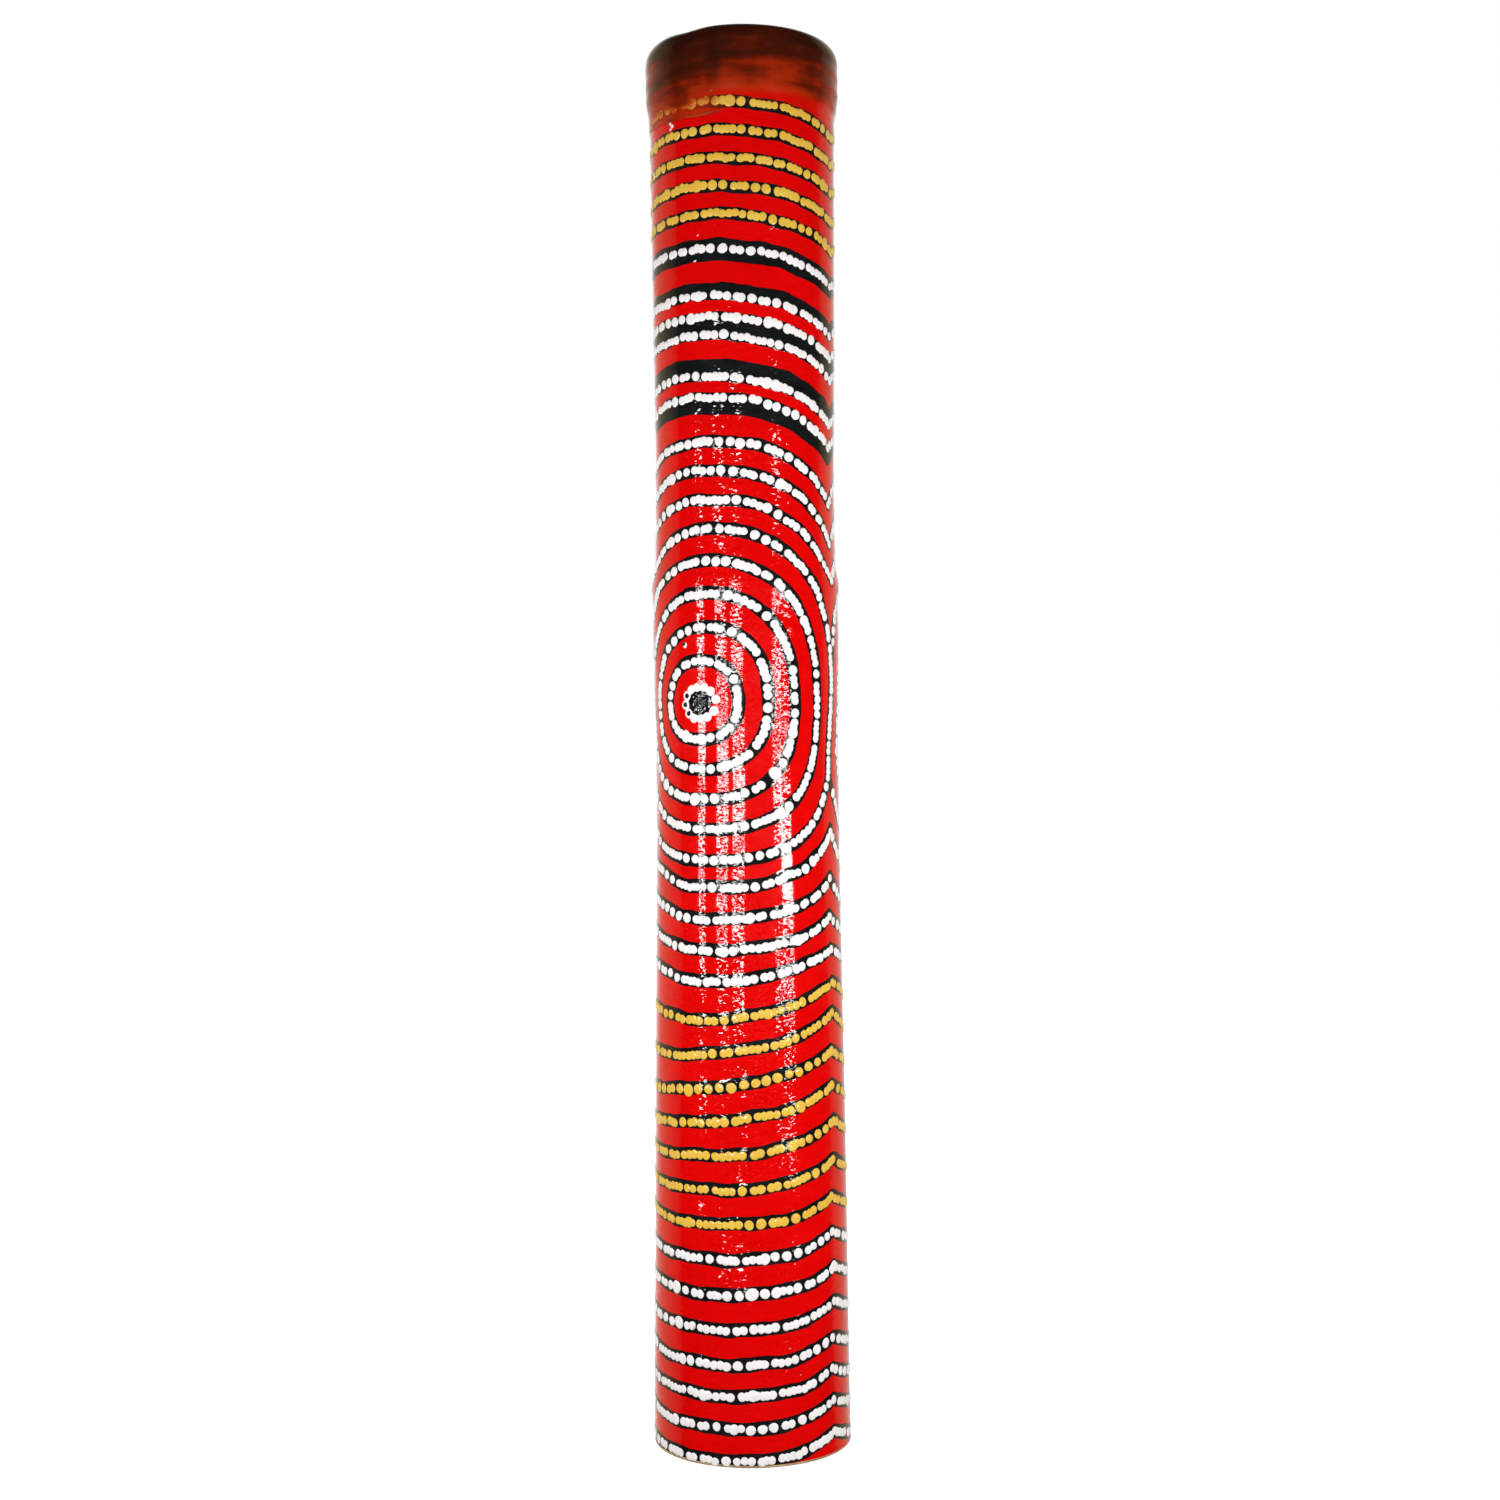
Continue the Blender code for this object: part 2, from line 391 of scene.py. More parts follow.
def pebble_material():
    """River pebbles: dark and sandy patches with pale speckles."""
    finish = Finish("river_pebble")
    speckle = finish.noise(1400)
    patches = finish.noise(160, detail=2.0)
    stone = finish.ramp(patches, [
        (0.35, (0.10, 0.085, 0.07)),
        (0.5, (0.30, 0.23, 0.16)),
        (0.65, (0.48, 0.42, 0.34)),
    ])
    colour = finish.mix(finish.mapped(speckle, (0.5, 0.7), (0.0, 0.5)), stone, (0.62, 0.58, 0.5))
    finish.set(Base_Color=colour, Roughness=0.45, Normal=finish.bump(speckle, 0.4, 0.0001))
    return finish.material


# How the hide's tone changes across the front, from left to right: darker below a half, clearer above it.
# Beside the hide's own uneven tone it holds a painted sheen at both edges (the high ends) and painted shade
# along the crease (the dip near 0.35).
HIDE_ACROSS_SHEEN_AND_SHADE = (
    (0.0, 0.78), (0.06, 0.52), (0.18, 0.22), (0.31, 0.42), (0.345, 0.28), (0.37, 0.28),
    (0.41, 0.50), (0.5, 0.60), (0.70, 0.63), (0.84, 0.40), (0.93, 0.58), (1.0, 0.85),
)
HIDE_HALF_WIDTH = 0.028

# The hide's colour from its darkest tone to its clearest, and how much it covers what lies under it
HIDE_COLOURS = (
    (0.0, (0.036, 0.0065, 0.0026)),
    (0.28, (0.068, 0.0076, 0.0020)),
    (0.48, (0.130, 0.0100, 0.0014)),
    (0.64, (0.26, 0.0150, 0.0012)),
    (0.80, (0.47, 0.026, 0.0014)),
    (1.0, (0.78, 0.045, 0.0022)),
)
HIDE_COVER = ((0.50, 1.0), (0.76, 0.82), (0.9, 0.60), (1.0, 0.38))

# Over the topmost row of dots the hem is clearest, from the left of the front (x) and below a height (z)
CLEAR_FROM_X = (-0.0105, -0.0060)
CLEAR_BELOW_Z = (0.3792, 0.3812)
CLEAR_COVER = 0.22


def hide_material():
    """Rawhide shrunk thin and varnished: near black at the rim, redder and see-through towards the hem."""
    finish = Finish("varnished_hide")
    place = finish.add("ShaderNodeSeparateXYZ")
    finish.link(finish.coordinates, place.inputs["Vector"])
    x, z = place.outputs["X"], place.outputs["Z"]
    down = finish.mapped(z, (HEM_LOW, STICK_TOP - 0.002), (1.0, 0.0))
    # The tone across the front carries a painted sheen at its two edges and painted shade along the crease
    across = finish.ramp(finish.mapped(x, (-HIDE_HALF_WIDTH, HIDE_HALF_WIDTH), (0.0, 1.0)), HIDE_ACROSS_SHEEN_AND_SHADE)
    clearer = finish.math("ADD", down, finish.math("SUBTRACT", across, 0.5))
    bands = finish.noise(52, stretch=(1, 1, 6), roughness=0.55)
    blots = finish.noise(130, stretch=(1, 1, 1.5), roughness=0.6)
    banded = finish.mapped(bands, (0.25, 0.75), (-0.30, 0.30))
    uneven = finish.math("ADD", banded, finish.mapped(blots, (0.3, 0.7), (-0.14, 0.14)))
    tone = finish.math("ADD", clearer, uneven)
    right = finish.mapped(x, CLEAR_FROM_X, (0.0, 1.0))
    low = finish.mapped(z, CLEAR_BELOW_Z, (1.0, 0.0))
    over_row = finish.mapped(finish.math("MULTIPLY", right, low), (0.0, 1.0), (1.0, CLEAR_COVER))
    cover = finish.math("MULTIPLY", finish.ramp(tone, HIDE_COVER), over_row)
    leather = finish.noise(700, roughness=0.6)
    finish.set(
        Base_Color=finish.ramp(tone, HIDE_COLOURS),
        Alpha=cover,
        Roughness=finish.mapped(blots, (0.3, 0.7), (0.11, 0.18)),
        Normal=finish.bump(leather, 0.5, 0.00006),
        IOR=1.40,
    )
    return finish.material


# -------- the painted tube

# The sawn foot: bare edge under the paint, rounded corner as (inwards, up), and face as shares of the wall
FOOT_BARE = 0.0008
FOOT_ROUND = 0.0004
FOOT_CORNER = ((0.00025, 0.0001), (0.0007, 0))
FOOT_FACE = (0.7, 0.4, 0.12)
FOOT_BUMPS = 0.00008
TUBE_ANGLES = 192
TUBE_ROWS = 200
RIM_ROUND = 0.0045
RIM_ROWS = 6
# The bore stays this far outside the CAD plugs that close it
BORE_GAP = 0.0004
# The culm joint is the widest ring between these heights. Inside, what is left of its diaphragm stands
# into the bore as a low ring.
JOINT_HEIGHTS = (0.22, 0.27)
DIAPHRAGM_RADIUS = 0.0204
DIAPHRAGM_ROWS = (-0.003, -0.0015, 0, 0.0015, 0.003)
DIAPHRAGM_CURVE = 100
BORE_ROWS_LOW = (0.02, 0.06, 0.1, 0.15, 0.2)
BORE_ROWS_HIGH = (0.28, 0.32, 0.36, 0.39)
DIAPHRAGM_REACH = 0.006
MOUTH_OUT, MOUTH_DOWN = 0.0004, 0.0003


def tube_profile():
    """(radius, z) down the outside from the rim, then up the bore. None is the uneven outer surface."""
    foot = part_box("bamboo_tube")[0][2]
    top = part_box("bamboo_tube")[1][2]
    bore_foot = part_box("bottom_plug")[1][0] + BORE_GAP
    bore_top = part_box("top_plug")[1][0] + BORE_GAP
    low, high = JOINT_HEIGHTS
    joint = max((ring for ring in RINGS if low < ring[0] < high), key=lambda ring: ring[1])[0]

    def bore(z):
        return bore_foot + (bore_top - bore_foot) * z / top

    shoulder = top - RIM_ROUND
    profile = []
    for i in range(1, RIM_ROWS + 1):
        turn = math.pi / 2 * (1 - i / RIM_ROWS)
        r = tube_radius(shoulder) - RIM_ROUND + RIM_ROUND * math.cos(turn)
        profile.append((r, shoulder + RIM_ROUND * math.sin(turn)))
    side = shoulder - FOOT_BARE
    profile += [(None, shoulder - side * i / TUBE_ROWS) for i in range(1, TUBE_ROWS + 1)]

    outside = tube_radius(foot)
    wall = outside - bore_foot
    profile.append((None, foot + FOOT_ROUND))
    profile += [(outside - inwards, foot + up) for inwards, up in FOOT_CORNER]
    profile += [(bore_foot + wall * share, foot + FOOT_BUMPS * math.sin(9 * share)) for share in FOOT_FACE]
    profile.append((bore_foot, foot + FOOT_ROUND))

    profile += [(bore(z), z) for z in (*BORE_ROWS_LOW, joint - DIAPHRAGM_REACH)]
    profile += [(DIAPHRAGM_RADIUS + DIAPHRAGM_CURVE * up * up, joint + up) for up in DIAPHRAGM_ROWS]
    profile += [(bore(z), z) for z in (joint + DIAPHRAGM_REACH, *BORE_ROWS_HIGH)]
    profile += [(bore_top, top - MOUTH_DOWN), (bore_top + MOUTH_OUT, top)]
    return profile


def make_tube(red, bare):
    """The whole tube as one closed surface: painted outside and rim, bare cut foot and bare bore."""
    profile = tube_profile()
    points = []
    for r, z in profile:
        for j in range(TUBE_ANGLES):
            angle = math.tau * j / TUBE_ANGLES
            points.append(on_tube(angle, z) if r is None else turned_point(angle, r, z))
    count = len(profile)
    faces = [(a, d, c, b) for a, b, c, d in ring_quads(0, TUBE_ANGLES, count, closed=True)]
    made = piece("painted_tube", points, faces, red)
    made.data.materials.append(bare)
    painted = RIM_ROWS + TUBE_ROWS - 1
    for polygon in made.data.polygons[painted * TUBE_ANGLES:(count - 1) * TUBE_ANGLES]:
        polygon.material_index = 1
    made.data.set_sharp_from_angle(angle=math.radians(40))
    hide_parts("bamboo_tube")


# -------- the painted pattern

# Rings and arches of dots spread from a centre on the front. A mirror image of them fills the back, and the
# two meet in a zigzag seam on each side.
CENTRE_Z = 0.2113
CENTRE_ANGLE = math.radians(-30)
REFERENCE_R = 0.0267
SEAM_RIGHT = math.radians(64)
SEAM_LEAN = math.radians(55)
SEAM_WANDER = math.radians(1.2)
RINGS_CLOSED = 5

# A band of arches: paint, height of the first above or below the centre, pitch, how many, and how far
# black shows beyond the dots and inside them (all in millimetres)
Band = namedtuple("Band", "paint first pitch count beyond inside")
BANDS_ABOVE = (
    Band("white", 56.4, 8.05, 3, 1.95, 1.95),
    Band("white", 84.9, 6.0, 1, 1.6, 5.2),
    Band("white", 90.8, 6.0, 1, 5.2, 1.6),
    Band("white", 102.1, 5.0, 1, 3.2, 1.6),
    Band("white", 107.2, 5.0, 1, 1.4, 3.2),
    Band("white", 113.0, 5.0, 1, 3.9, 1.4),
    Band("white", 126.0, 5.0, 1, 3.0, 3.8),
    Band("yellow", 135.7, 7.75, 5, 1.75, 2.15),
)
BANDS_BELOW = (
    Band("white", 51.4, 8.73, 4, 1.8, 2.45),
    Band("yellow", 88.2, 9.4, 7, 1.75, 2.45),
    Band("white", 154.2, 9.65, 4, 2.05, 2.35),
    Band("white", 191.8, 8.9, 3, 2.05, 2.35),
)
ARCH_STEPS = 150
ARCH_WAVER = 0.22 * MM
ARCH_WAVE = 0.9

# Arches above the centre settle from one shape to another between these heights: the angle of their middle,
# how far to a side they drop by their full amount, and how square their shoulders are. The full amount is
# given for one height, and shrinks with height to this power.
SETTLING = (72, 95)
HIGH_MIDDLE = (-24, -34)
HIGH_REACH = (37.3, 42.0)
HIGH_POWER = (2.4, 2.1)
HIGH_DROP = (15.2, 60)
HIGH_DROP_POWER = 1.3

# Arches below it: the angle of their middle, how far to a side their ends lift by their full amount, and how
# far left they still do. At the left the first ones lift sooner, and that fades between these depths.
LOW_MIDDLE = math.radians(-26)
LOW_REACH = 38.2
LOW_LEFT_END = 42
LEFT_SOONER = (85, 105)
# The full amount is at least this, and more for the first arches: how much, and the depth over which that
# fades. About some depths the arches tilt, lift less or are rounder: how much, at which depth, how near it.
FIRST_FALL = BANDS_BELOW[0].first
LEAST_LIFT = 5.3
FIRST_LIFT = (6.2, 14)
TILTED = (0.118, 106, 24)
LIFTED_LESS = (1.3, 110, 10)
ROUNDER = (1, 82, 12)
# At the left they level out at this lift, and turn up again past this many degrees and over so many more:
# by how much at first, the depth over which that fades, and its power
LEFT_LEVEL = 5.5
LEFT_TURN = (72, 44)
LEFT_LIFT = (14, 15)
LEFT_POWER = 1.7

# The closed rings: value of the innermost, and change from each to the next (degrees, millimetres, steps)
RING_MIDDLE = (-30, 1.6)
RING_SIDE = (11.5, 7.55)
RING_UP = (11.8, 9.2)
RING_DOWN = (10.0, 8.35)
RING_STEPS = (60, 34)
# How square the lower and the upper half are, as powers, and how the left side differs
RING_LOWER = (2.2, 0.1)
RING_UPPER = (2.45, -0.07)
RING_UPPER_LEFT = 2.0
RING_LOWER_LESS = 0.005
RING_WAVER = 0.25 * MM
RING_BEYOND = 1.90 * MM
RING_INSIDE = 2.30 * MM


def seam(z):
    """Angle of the right-hand seam at this height; the left-hand one is half a turn away."""
    return SEAM_RIGHT + SEAM_LEAN * (z - CENTRE_Z) + SEAM_WANDER * math.sin(150 * z + 0.6)


def arch_above(angle, rise):
    """Height over the centre of an arch that stands this high in its middle, in millimetres."""
    settled = smooth_step(rise, *SETTLING)
    middle = math.radians(between(HIGH_MIDDLE, settled))
    x = abs(angle - middle) * REFERENCE_R / MM
    drop = HIGH_DROP[0] * (HIGH_DROP[1] / rise) ** HIGH_DROP_POWER
    return rise - drop * (x / between(HIGH_REACH, settled)) ** between(HIGH_POWER, settled)


def arch_below(angle, fall):
    """The same below the centre: the ends turn up, and the middle arches tilt up to the right."""

    def fading(size, depth):
        return size * math.exp(-(fall - FIRST_FALL) / depth)

    x = (angle - LOW_MIDDLE) * REFERENCE_R / MM
    tilt = bell(fall, *TILTED) * x
    if x < 0:
        x = min(-x, LOW_LEFT_END)
        x *= 1 + (1 - smooth_step(fall, *LEFT_SOONER)) * (1 - x / LOW_LEFT_END)
    lift = LEAST_LIFT + fading(*FIRST_LIFT) - bell(fall, *LIFTED_LESS)
    rise = lift * (x / LOW_REACH) ** (3 - bell(fall, *ROUNDER))
    if angle < LOW_MIDDLE:
        rise = LEFT_LEVEL * math.tanh(rise / LEFT_LEVEL)
        past = max(-math.degrees(angle) - LEFT_TURN[0], 0) / LEFT_TURN[1]
        rise += fading(*LEFT_LIFT) * past ** LEFT_POWER
    return tilt - fall + rise


def arch_path(size, above, waver):
    """(angle, z) points of one arch, from the left-hand seam to the right-hand one."""

    def height(angle):
        over = arch_above(angle, size) if above else arch_below(angle, size)
        return CENTRE_Z + over * MM + waver(angle)

    ends = []
    for turn in (-math.pi, 0):
        angle = SEAM_RIGHT + turn
        for _ in range(8):
            angle = seam(height(angle)) + turn
        ends.append(angle)
    angles = [ends[0] + (ends[1] - ends[0]) * i / ARCH_STEPS for i in range(ARCH_STEPS + 1)]
    return [(angle, height(angle)) for angle in angles]


def ring_path(k, waver):
    """(angle, z) points of the closed ring number k, not repeating the first: a rounded, upright oval."""

    def of_ring(values):
        return values[0] + values[1] * k

    middle = math.radians(of_ring(RING_MIDDLE))
    side = of_ring(RING_SIDE) * MM
    up = of_ring(RING_UP) * MM
    down = of_ring(RING_DOWN) * MM
    steps = of_ring(RING_STEPS)
    path = []
    for i in range(steps):
        turn = math.tau * i / steps
        c, s = math.cos(turn), math.sin(turn)
        if s < 0:
            power = of_ring(RING_LOWER) - (RING_LOWER_LESS * k ** 3 if c < 0 else 0)
        else:
            power = of_ring(RING_UPPER) if c > 0 else RING_UPPER_LEFT
        x = side * math.copysign(abs(c) ** (2 / power), c)
        z = (up if s > 0 else down) * math.copysign(abs(s) ** (2 / power), s)
        swell = 1 + waver(turn) / (side + 0.004)
        z = CENTRE_Z + z * swell
        angle = middle + x * swell / REFERENCE_R
        path.append((min(max(angle, seam(z) - math.pi), seam(z)), z))
    return path


class Motif:
    """Maps the front pattern's (angle, z) to the front or, mirrored in the right-hand seam, to the back."""

    def __init__(self, back):
        self.back = back

    def place(self, angle, z):
        return (2 * seam(z) - angle if self.back else angle), z

    def doubled(self, angle, z, near=1.2 * MM):
        """Whether a mirrored point falls on a seam, where the front pattern has its own."""
        right = (seam(z) - angle) * REFERENCE_R
        left = (angle - seam(z) + math.pi) * REFERENCE_R
        return self.back and min(right, left) < near


def measured(path, closed):
    """The path's points, the first again at the end of a closed one, and each one's distance along it."""
    points = path + [path[0]] if closed else path
    lengths = [0.0]
    for (a0, z0), (a1, z1) in zip(points, points[1:]):
        lengths.append(lengths[-1] + math.hypot((a1 - a0) * REFERENCE_R, z1 - z0))
    return points, lengths


def point_along(points, lengths, s):
    """(angle, z) at this distance along a measured path."""
    i = min(max(bisect_right(lengths, s) - 1, 0), len(lengths) - 2)
    t = (s - lengths[i]) / max(lengths[i + 1] - lengths[i], 1e-9)
    a0, z0 = points[i]
    a1, z1 = points[i + 1]
    return a0 + (a1 - a0) * t, z0 + (z1 - z0) * t


# A dot's profile over the surface, as shares of its radius and of its height. Its base is sunk.
DOME = ((1.0, 0.15), (0.92, 0.72), (0.70, 0.94), (0.34, 1.0))
DOT_SUNK = 0.12 * MM
DOT_SIDES = 12


class Coat:
    """Collects many small solids of one paint into one mesh."""

    def __init__(self):
        self.points = []
        self.faces = []

    def ribbon(self, sections, closed, flip):
        """Joins cross-sections, each a ring of the same number of points, into one closed solid."""
        first = len(self.points)
        sides = len(sections[0])
        for section in sections:
            self.points.extend(section)
        faces = [(a, d, c, b) for a, b, c, d in ring_quads(first, sides, len(sections), closed)]
        if not closed:
            faces += end_caps(first, sides, len(sections))
        self.faces += [face[::-1] if flip else face for face in faces]

    def dot(self, angle, z, radius, height, rng):
        """One drop of paint: a low dome with steep edges and a slightly uneven outline."""
        first = len(self.points)
        stretch = rng.uniform(-0.06, 0.06)
        bend = rng.uniform(-0.04, 0.04)
        turn = rng.uniform(0, math.tau)
        r_here = tube_radius(z)
        rings = [(1.0, -DOT_SUNK)] + [(share, lift * height) for share, lift in DOME]
        for share, rise in rings:
            for j in range(DOT_SIDES):
                phi = math.tau * j / DOT_SIDES
                uneven = 1 + stretch * math.sin(2 * phi + turn) + bend * math.sin(3 * phi + 2 * turn)
                r = radius * share * uneven
                self.points.append(on_tube(angle + r * math.cos(phi) / r_here, z + r * math.sin(phi), rise))
        self.faces += ring_quads(first, DOT_SIDES, len(rings))
        self.faces += [cap[::-1] for cap in end_caps(first, DOT_SIDES, len(rings))]

    def made(self, name, material, slot):
        coat = piece(name, self.points, self.faces, material)
        coat.data.set_sharp_from_angle(angle=math.radians(50))


LINE_STEP = 1.0 * MM
SEAM_LAP = 0.4 * MM
# A line's direction is taken between points this far before and after
DIRECTION_REACH = 0.4 * MM
# An arch's edges lie straight above and below its middle, further apart where it is steep, up to this share
STEEPEST = 2.2
EDGE_WAVER = 0.16 * MM
EDGE_WAVE = 14 * MM
# A line's height, and what the second and third of every three lines gain over the one before, so that they
# can cross. Its edges and underside are sunk.
LINE_HEIGHT = 0.020 * MM
LAYER_HEIGHT = 0.004 * MM
EDGE_SUNK = 0.012 * MM
UNDERSIDE_SUNK = 0.15 * MM


def paint_line(coat, path, closed, motif, beyond, inside, sign, layer, rng):
    """A brushed black line: thin and lens-shaped, its edges just under the surface."""
    points, lengths = measured(path, closed)
    total = lengths[-1]
    count = round(total / LINE_STEP)
    outer_edge = Waver(rng, EDGE_WAVER, EDGE_WAVE)
    inner_edge = Waver(rng, EDGE_WAVER, EDGE_WAVE)
    top = LINE_HEIGHT + LAYER_HEIGHT * (layer % 3)
    lens = ((1.0, -EDGE_SUNK), (0.78, top), (0.25, top * 1.1))
    sections = []
    for i in range(count if closed else count + 1):
        s = total * i / count
        if i == 0 and not closed:
            s -= SEAM_LAP
        if i == count:
            s += SEAM_LAP
        angle, z = point_along(points, lengths, s)
        if closed:
            before, after = (s - DIRECTION_REACH) % total, (s + DIRECTION_REACH) % total
        else:
            before, after = max(s - DIRECTION_REACH, 0), min(s + DIRECTION_REACH, total)
        a0, z0 = point_along(points, lengths, before)
        a1, z1 = point_along(points, lengths, after)
        dx = (a1 - a0) * REFERENCE_R
        dz = z1 - z0
        size = math.hypot(dx, dz) or 1e-9
        if closed:
            nx, nz = -dz / size, dx / size
        else:
            nx, nz = 0.0, sign * min(size / max(abs(dx), 1e-9), STEEPEST)
        out = beyond + outer_edge(s)
        back = inside + inner_edge(s)
        outline = [(out * share, lift) for share, lift in lens]
        outline += [(-back * share, lift) for share, lift in reversed(lens)]
        outline += [(-back, -UNDERSIDE_SUNK), (out, -UNDERSIDE_SUNK)]
        section = []
        for offset, lift in outline:
            angle_here, z_here = motif.place(angle + nx * offset / REFERENCE_R, z + nz * offset)
            if z_here < FOOT_BARE and z_here < z:
                z_here = FOOT_BARE
            section.append(on_tube(angle_here, z_here, lift))
        sections.append(section)
    coat.ribbon(sections, closed, motif.back if closed else (sign < 0) == motif.back)


SINGLE_RADIUS = 1.38 * MM
RUN_RADIUS = 1.24 * MM
DOT_HEIGHT = 0.24 * MM
SMALLEST_DOT = 0.5 * MM
# How many dots are pressed on before the next gap, drawn with equal chances
RUNS = (1, 1, 1, 1, 1, 2, 2, 3, 3, 4, 5, 7)
# Steps from dot to dot in a run and across a gap, in dot radii
RUN_PITCH = (1.05, 1.65)
GAP_PITCH = (2.12, 2.55)
# Now and then a drop comes out bigger
USUAL_CHANCE = 0.96
BIG_DROP = 1.3
# How much the dots vary, and how far off their row they land
RUN_SIZES = (0.93, 1.06)
DOT_SIZES = (0.95, 1.05)
DOT_HEIGHTS = (0.8, 1.15)
DOT_STEPS = (0.93, 1.07)
ASIDE = 0.1 * MM
UPWARD = 0.11 * MM
RING_GAP = 2.5 * MM
LAST_STEP = 1.1 * MM


def paint_dots(coats, path, closed, motif, rng):
    """A row of dots pressed on one by one: runs that touch and merge, with gaps between the runs."""
    points, lengths = measured(path, closed)
    total = lengths[-1]
    s = rng.uniform(0, 2 * MM) if closed else 0.0
    end = total + s - RING_GAP if closed else total
    while True:
        run = rng.choice(RUNS)
        size = (SINGLE_RADIUS if run == 1 else RUN_RADIUS) * rng.uniform(*RUN_SIZES)
        pitch = rng.uniform(*RUN_PITCH)
        for k in range(run):
            angle, z = point_along(points, lengths, s)
            usual = rng.random() < USUAL_CHANCE
            radius = size * (rng.uniform(*DOT_SIZES) if usual else BIG_DROP)
            aside = rng.gauss(0, ASIDE) / REFERENCE_R
            upward = rng.gauss(0, UPWARD)
            if not motif.doubled(angle, z):
                here = motif.place(angle + aside, z + upward)
                radius = min(radius, here[1] - 0.1 * MM)
                if radius > SMALLEST_DOT:
                    coat = coats[0 if here[1] > CENTRE_Z else 1]
                    coat.dot(*here, radius, DOT_HEIGHT * rng.uniform(*DOT_HEIGHTS), rng)
            if s >= end:
                return
            last = k == run - 1
            s += size * (rng.uniform(*GAP_PITCH) if last else pitch * rng.uniform(*DOT_STEPS))
            if closed and s > end:
                return
            if not closed and s > end - LAST_STEP:
                s = end


# The motif's middle: places of the dots round it in degrees, between which angles they are pierced, and
# the oval that they stand on
HEART_DOTS = (12, 46, 72, 97, 120, 150, 186, 223, 249, 273, 298, 330)
PIERCED_BETWEEN = (140, 235)
HEART_SIDE = 5.15
HEART_UP = 4.4
HEART_RADIUS = 1.35 * MM
PIERCED_RADIUS = 1.4 * MM
PINHOLE_RADIUS = 0.80 * MM
PINHOLE_PROUD = 0.09 * MM
# The black blob inside them: its size, its height, how high its lumps are, and its mesh
BLOB_RADIUS = 4.0 * MM
BLOB_HEIGHT = 0.26 * MM
LUMP_HEIGHT = 0.075 * MM
BLOB_RINGS = 22
BLOB_SIDES = 66


def make_blob(coat, motif):
    """A lumpy drop of black paint that was stippled while wet."""
    first = len(coat.points)
    for i in range(BLOB_RINGS + 1):
        for j in range(BLOB_SIDES):
            phi = math.tau * j / BLOB_SIDES
            edge = BLOB_RADIUS * (1 + 0.05 * math.sin(3 * phi + 1) + 0.03 * math.sin(7 * phi))
            r = edge * (1 - i / (BLOB_RINGS + 0.3))
            x, y = r * math.cos(phi), r * math.sin(phi)
            across = math.sin(x * 9500 + 2.1 * math.sin(y * 5200))
            lumps = across * math.sin(y * 8300 + 2.3 * math.sin(x * 6100))
            dome = BLOB_HEIGHT * (1 - (r / edge) ** 6)
            lift = dome + LUMP_HEIGHT * lumps * (1 - (r / edge) ** 4) if i else -0.1 * MM
            here = motif.place(CENTRE_ANGLE + x / REFERENCE_R, CENTRE_Z + y)
            coat.points.append(on_tube(*here, lift))
    faces = ring_quads(first, BLOB_SIDES, BLOB_RINGS + 1)
    faces += [cap[::-1] for cap in end_caps(first, BLOB_SIDES, BLOB_RINGS + 1)]
    coat.faces += [face[::-1] if motif.back else face for face in faces]


def make_centre(lines, dots, motif, rng):
    """The motif's middle: the blob in a ring of merging white dots, some with a black pinhole."""
    make_blob(lines, motif)
    for degrees in HEART_DOTS:
        turn = math.radians(degrees)
        pierced = PIERCED_BETWEEN[0] < degrees < PIERCED_BETWEEN[1]
        r = (0.94 if pierced else 1.0) * MM * rng.uniform(0.97, 1.03)
        x = HEART_SIDE * r * math.cos(turn)
        here = motif.place(CENTRE_ANGLE + x / REFERENCE_R, CENTRE_Z + HEART_UP * r * math.sin(turn))
        radius = (PIERCED_RADIUS if pierced else HEART_RADIUS) * rng.uniform(*DOT_SIZES)
        dots.dot(*here, radius, DOT_HEIGHT, rng)
        if pierced:
            lines.dot(*here, PINHOLE_RADIUS, DOT_HEIGHT + PINHOLE_PROUD, rng)


# Stray marks of paint off the rows: paint, degrees, then height and radius in millimetres. The first two are
# a stray pierced dot; the three white flecks just under the hem are a painted glint.
STRAY_DOTS_AND_GLINT = (
    ("white", -40.0, 227.5, 0.74), ("black", -40.7, 227.8, 0.56),
    ("white", -49.3, 373.9, 0.45), ("white", -47.6, 373.1, 0.55), ("white", -48.9, 372.3, 0.40),
)


def paint_arches(bands, above, lines, dots, motif, layer, rng):
    """All arches above or below the centre: black lines with rows of dots. Returns the next layer."""
    sign = 1 if above else -1
    for band in bands:
        for k in range(band.count):
            waver = Waver(random.Random(f"{band.paint}{above}{band.first}{k}"), ARCH_WAVER, ARCH_WAVE)
            path = arch_path(band.first + band.pitch * k, above, waver)
            paint_line(lines, path, False, motif, band.beyond * MM, band.inside * MM, sign, layer, rng)
            paint_dots(dots[band.paint], path, False, motif, rng)
            layer += 1
    return layer


def paint_rings(lines, dots, motif, layer, rng):
    """The closed rings round the centre, each begun at another place. Returns the next layer."""
    for k in range(RINGS_CLOSED):
        waver = Waver(random.Random(f"ring{k}"), RING_WAVER, math.tau, terms=3, whole=True)
        path = ring_path(k, waver)
        first = int(len(path) * (0.13 + 0.37 * k) % len(path))
        path = path[first:] + path[:first]
        paint_line(lines, path, True, motif, RING_BEYOND, RING_INSIDE, 1, layer, rng)
        paint_dots(dots, path, True, motif, rng)
        layer += 1
    return layer


